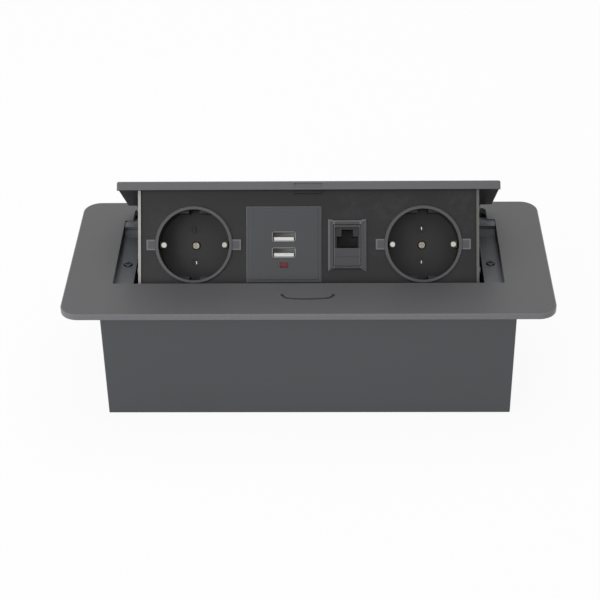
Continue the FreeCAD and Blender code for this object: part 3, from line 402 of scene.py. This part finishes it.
finishes = {
    # painted highlight on the faceplate's front and side faces, painted shade on the mark's groove floor
    "platePaint": paint(
        "satinPaint", tint(76, 76, 78), rough=0.4, paintedHighlight=tint(108, 108, 110), limit=0.85,
        grooveShade=tint(34, 34, 36)),
    # painted shade on the lid's inner face
    "lidPaint": paint("lidPaint", tint(90, 90, 92), rough=0.4, underShade=tint(58, 58, 60)),
    "boxPaint": paint("boxPaint", tint(66, 67, 71), rough=0.5),
    "bracketPaint": paint("bracketPaint", tint(94, 96, 101), rough=0.5),
    # the cheeks' edges get a painted highlight, bright on the left cheek where the left lamp falls and
    # dimmer on the right
    "litLeftCheekPaint": paint(
        "litLeftCheekPaint", tint(40, 41, 44), rough=0.5, paintedHighlight=tint(172, 170, 165), flat="side"),
    "shadedRightCheekPaint": paint(
        "shadedRightCheekPaint", tint(40, 41, 44), rough=0.5, paintedHighlight=tint(96, 94, 91), flat="side"),
    "panelPaint": paint(
        "panelPaint", tint(10, 10, 12), rough=0.4, grainDepth=0.00002, gloss=0.4,
        scuff=tint(42, 42, 45)),
    "stripPaint": paint("stripPaint", tint(58, 59, 62), rough=0.5),
    "blackPlastic": moulding("blackPlastic", tint(18, 18, 20), rough=0.5),
    # painted shade in the socket wells, painted highlight lines round the side tabs
    "socketPlastic": socketMoulding(
        "socketPlastic", tint(74, 74, 77), tint(20, 20, 22), tint(104, 104, 108), 0.32),
    # painted shade in the outlet's groove and recess, painted highlight on its edges
    "framePlastic": networkMoulding(
        "framePlastic", tint(56, 56, 60), tint(18, 18, 20), tint(98, 98, 102), 0.36),
    # painted highlight on the USB plate's sloping edges
    "platePlastic": moulding("platePlastic", tint(58, 59, 63), rough=0.36, paintedHighlight=tint(100, 100, 105)),
    "jackPlastic": moulding("jackPlastic", tint(62, 62, 66), rough=0.5),
    "shutterPlastic": moulding("shutterPlastic", tint(24, 24, 26), rough=0.55),
    "whitePlastic": moulding("whitePlastic", tint(215, 215, 214), rough=0.4),
    "boardResin": moulding("boardResin", tint(30, 92, 52), rough=0.35, coat=0.3),
    "redLens": moulding("redLens", tint(96, 8, 17), rough=0.25),
    "rubber": moulding("rubber", tint(10, 10, 11), rough=0.75, grainDepth=0.00003),
    "zincSteel": metal("zincSteel", tint(165, 166, 168), rough=0.34),
    "darkSteel": metal("darkSteel", tint(85, 86, 88), rough=0.42),
    # painted glint on the earth clips' noses
    "clipMetal": clipMetal("clipMetal", tint(52, 50, 44), tint(205, 204, 200)),
    "nickel": metal("nickel", tint(190, 190, 186), rough=0.25),
    "screwNickel": metal("screwNickel", tint(158, 152, 140), rough=0.38),
    "portSteel": metal("portSteel", tint(140, 138, 134), rough=0.34),
    # painted shade: the contacts' brass is darkened to the shade deep in the pin holes and the jack
    "shadedBrass": metal("shadedBrass", tint(40, 31, 17), rough=0.55),
    "magnet": metal("magnet", tint(100, 100, 102), rough=0.5),
}

wearing = {
    "platePaint": ["faceplate"],
    "lidPaint": ["lid"],
    "boxPaint": ["box_shell"],
    "bracketPaint": ["left_bracket", "right_bracket", "left_end_block", "right_end_block"],
    "litLeftCheekPaint": ["left_cheek"],
    "shadedRightCheekPaint": ["right_cheek"],
    "panelPaint": ["socket_panel", "striker"],
    "stripPaint": ["rear_strip"],
    "blackPlastic": [
        "wiring_cover", "catch_case", "left_socket_back", "right_socket_back", "usb_case",
    ],
    "jackPlastic": ["network_jack"],
    "socketPlastic": ["left_socket", "right_socket"],
    "framePlastic": ["network_frame"],
    "platePlastic": ["usb_plate"],
    "whitePlastic": ["upper_usb_tongue", "lower_usb_tongue"],
    "boardResin": ["usb_board"],
    "redLens": ["led_lens"],
    "rubber": ["rim_gasket", "cable_grommet"],
    "zincSteel": ["left_hinge_pin", "right_hinge_pin"],
    "darkSteel": ["shelf_screws", "cheek_screws"],
    "clipMetal": ["left_earth_clips", "right_earth_clips"],
    "screwNickel": ["socket_screws"],
    "portSteel": ["upper_usb_shell", "lower_usb_shell"],
    "shadedBrass": ["left_contacts", "right_contacts", "network_contacts"],
    "magnet": ["catch_magnet"],
}
for finishName, names in wearing.items():
    for name in names:
        mesh = nodes[name].data
        mesh.materials.clear()
        mesh.materials.append(finishes[finishName])
print("finishes:", len(finishes))


# Shutters in the pin holes, each with a slot that shows the sprung contact behind it.

shutter = {
    "radius": 0.00262,
    "thickness": 0.0012,
    "below": 0.0005,
    "rimWidth": 0.0009,
    "slotNarrow": 0.36,
    "slotDepth": 0.0008,
    "topFace": 0.9,
    "tipSize": (0.0008, 0.0020, 0.0006),
    "tipBevel": 0.00022,
}
shutterHoles = {
    "leftUpper": (-1, 1, 0.0020),
    "leftLower": (-1, -1, 0.0002),
    "rightUpper": (1, 1, 0.0002),
    "rightLower": (1, -1, 0.0007),
}


def panelPoint(across, up, out):
    lean = math.radians(panelSpots["lean"])
    x, y, z = panelSpots["faceMiddle"]
    y += up * math.cos(lean) - out * math.sin(lean)
    z += up * math.sin(lean) + out * math.cos(lean)
    return Vector((x + across, y, z))


def finishPiece(piece, finishName, body):
    bpy.ops.object.mode_set(mode="OBJECT")
    bpy.ops.object.transform_apply(location=True, rotation=True, scale=True)
    piece.data.materials.clear()
    piece.data.materials.append(finishes[finishName])
    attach(piece, body)


def makeShutter(name, sideways, upways, sunk):
    turn = (math.radians(panelSpots["lean"]), 0, 0)
    across = sideways * panelSpots["socketSide"]
    up = upways * panelSpots["pinOffset"]
    face = panelSpots["wellFloor"] - shutter["below"]
    bpy.ops.object.select_all(action="DESELECT")
    bpy.ops.mesh.primitive_cylinder_add(
        vertices=24, radius=shutter["radius"], depth=shutter["thickness"], rotation=turn,
        location=panelPoint(across, up, face - shutter["thickness"] / 2))
    piece = bpy.context.object
    piece.name = name + "Shutter"
    bpy.ops.object.mode_set(mode="EDIT")
    bpy.ops.mesh.select_mode(type="FACE")
    bpy.ops.mesh.select_all(action="DESELECT")
    bpy.ops.object.mode_set(mode="OBJECT")
    for polygon in piece.data.polygons:
        polygon.select = polygon.normal.z > shutter["topFace"]
    bpy.ops.object.mode_set(mode="EDIT")
    bpy.ops.mesh.inset(thickness=shutter["rimWidth"])
    middle = tuple(panelPoint(across, up, face))
    bpy.ops.transform.resize(value=(shutter["slotNarrow"], 1, 1), center_override=middle)
    inward = panelPoint(0, 0, -shutter["slotDepth"]) - panelPoint(0, 0, 0)
    bpy.ops.mesh.extrude_region_move(TRANSFORM_OT_translate={"value": inward})
    finishPiece(piece, "shutterPlastic", "carrier")

    bpy.ops.object.select_all(action="DESELECT")
    bpy.ops.mesh.primitive_cube_add(
        size=1, rotation=turn, location=panelPoint(across, up, face - sunk - shutter["tipSize"][2] / 2))
    tip = bpy.context.object
    tip.name = name + "ContactTip"
    tip.scale = shutter["tipSize"]
    bpy.ops.object.transform_apply(location=False, rotation=False, scale=True)
    bpy.ops.object.mode_set(mode="EDIT")
    bpy.ops.mesh.select_all(action="SELECT")
    bpy.ops.mesh.bevel(offset=shutter["tipBevel"], segments=3)
    finishPiece(tip, "nickel", "carrier")


for name, (sideways, upways, sunk) in shutterHoles.items():
    makeShutter(name, sideways, upways, sunk)
print("shutters:", len(shutterHoles))


# Camera, at the photograph's place.

camera = {
    "lens": 101.25,
    "place": (0.015294, -0.810706, 0.566896),
    "tilt": 32.993,
    "turn": 1.463,
    "roll": -0.936,
}


def makeCamera():
    data = bpy.data.cameras.new("camera")
    data.lens = camera["lens"]
    view = bpy.data.objects.new("camera", data)
    bpy.context.scene.collection.objects.link(view)
    turn = Matrix.Rotation(math.radians(camera["turn"]), 4, "Z")
    tilt = Matrix.Rotation(math.radians(90 - camera["tilt"]), 4, "X")
    roll = Matrix.Rotation(math.radians(camera["roll"]), 4, "Z")
    view.matrix_world = Matrix.Translation(Vector(camera["place"])) @ turn @ tilt @ roll
    bpy.context.scene.camera = view


makeCamera()


# Studio: a white floor that keeps the shadow, an even sky and soft lamps.

studio = {
    "floorSize": 6.0,
    "floorGlow": 0.93,
    "floorColour": (0.9, 0.9, 0.9, 1),
    "sky": 0.45,
    "lamps": [
        {"name": "overhead", "place": (0.0, 0.3, 1.5), "aim": (0, 0, 0.05), "size": 1.3, "power": 10.0},
        {"name": "front", "place": (-0.9, -1.6, 0.3), "aim": (0, 0, 0.05), "size": 1.0, "power": 8.0},
        {"name": "left", "place": (-1.1, -0.7, 0.4), "aim": (0, 0, 0.05), "size": 0.7, "power": 4.0},
        {"name": "window", "place": (-0.75, -1.4, 0.85), "aim": (0, 0, 0.05), "size": 0.4, "power": 2.0},
    ],
}


def makeStudio():
    bpy.ops.object.select_all(action="DESELECT")
    bpy.ops.mesh.primitive_plane_add(size=studio["floorSize"], location=(0, 0, 0))
    floor = bpy.context.object
    floor.name = "floor"
    finish = Finish("floorWhite")
    diffuse = finish.make("BsdfDiffuse", sockets={"Color": studio["floorColour"]})
    glow = finish.make("Emission", sockets={"Color": (1, 1, 1, 1), "Strength": 1.0})
    direct = finish.make("LightPath", output="Is Camera Ray")
    seen = direct.math("MAXIMUM", finish.make("LightPath", output="Is Glossy Ray"))
    mixed = finish.make("MixShader", sockets={0: seen * studio["floorGlow"], 1: diffuse, 2: glow})
    finish.tree.links.new(mixed.socket, finish.out.inputs["Surface"])
    floor.data.materials.append(finish.material)

    world = bpy.data.worlds.new("sky")
    bpy.context.scene.world = world
    world.use_nodes = True
    tree = world.node_tree
    tree.nodes.clear()
    path = tree.nodes.new("ShaderNodeLightPath")
    sky = tree.nodes.new("ShaderNodeBackground")
    sky.inputs["Color"].default_value = (1, 1, 1, 1)
    glossy = Wire(tree, path.outputs["Is Glossy Ray"])
    seen = Wire(tree, path.outputs["Is Camera Ray"]).math("MAXIMUM", glossy)
    level = seen * (1 - studio["sky"]) + studio["sky"]
    plug(tree, sky.inputs["Strength"], level)
    out = tree.nodes.new("ShaderNodeOutputWorld")
    tree.links.new(sky.outputs[0], out.inputs["Surface"])

    for lamp in studio["lamps"]:
        data = bpy.data.lights.new(lamp["name"], "AREA")
        data.size = lamp["size"]
        data.energy = lamp["power"]
        light = bpy.data.objects.new(lamp["name"], data)
        bpy.context.scene.collection.objects.link(light)
        place = Vector(lamp["place"])
        aim = Vector(lamp["aim"]) - place
        light.matrix_world = Matrix.Translation(place) @ aim.to_track_quat("-Z", "Y").to_matrix().to_4x4()


makeStudio()
bpy.context.scene.view_settings.view_transform = "Standard"
print("camera and studio ready")
